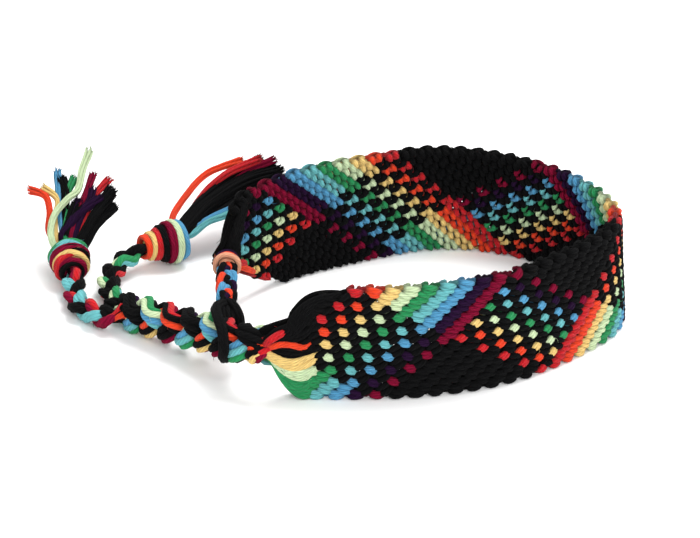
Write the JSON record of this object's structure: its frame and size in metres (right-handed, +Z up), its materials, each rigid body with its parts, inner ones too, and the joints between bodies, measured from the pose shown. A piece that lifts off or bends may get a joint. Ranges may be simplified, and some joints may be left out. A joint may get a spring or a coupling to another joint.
{
  "type": "friendship bracelet",
  "caption": "Knotted cotton friendship bracelet standing open on its edge, with a braided tie drawn through a braided loop and two knotted tassels.",
  "frame": {"origin": "middle of the bounding box, on the surface that the bracelet stands on", "axes": "+Z up, -Y towards the near side of the band, +X towards the closed end of the loop of the band"},
  "size_m": [0.1058, 0.0741, 0.02],
  "materials": {
    "mixed_yarn": "matte knotted cotton",
    "black_yarn": "matte cotton",
    "blue_yarn": "matte cotton",
    "green_yarn": "matte cotton",
    "red_yarn": "matte cotton",
    "peach_yarn": "matte cotton"
  },
  "bodies": {
    "root": {"band": "mixed_yarn", "loop_knot": "peach_yarn", "loop_strand_1": "blue_yarn", "loop_strand_2": "red_yarn", "loop_strand_3": "black_yarn", "loop_eye": "black_yarn", "tie_strand_1": "green_yarn", "tie_strand_2": "red_yarn", "tie_strand_3": "black_yarn", "left_braid_strand_1": "blue_yarn", "left_braid_strand_2": "red_yarn", "left_braid_strand_3": "black_yarn", "right_braid_strand_1": "black_yarn", "right_braid_strand_2": "green_yarn", "right_braid_strand_3": "red_yarn", "left_knot": "green_yarn", "right_knot": "red_yarn", "left_tassel": "mixed_yarn", "right_tassel": "mixed_yarn"}
  },
  "joints": []
}
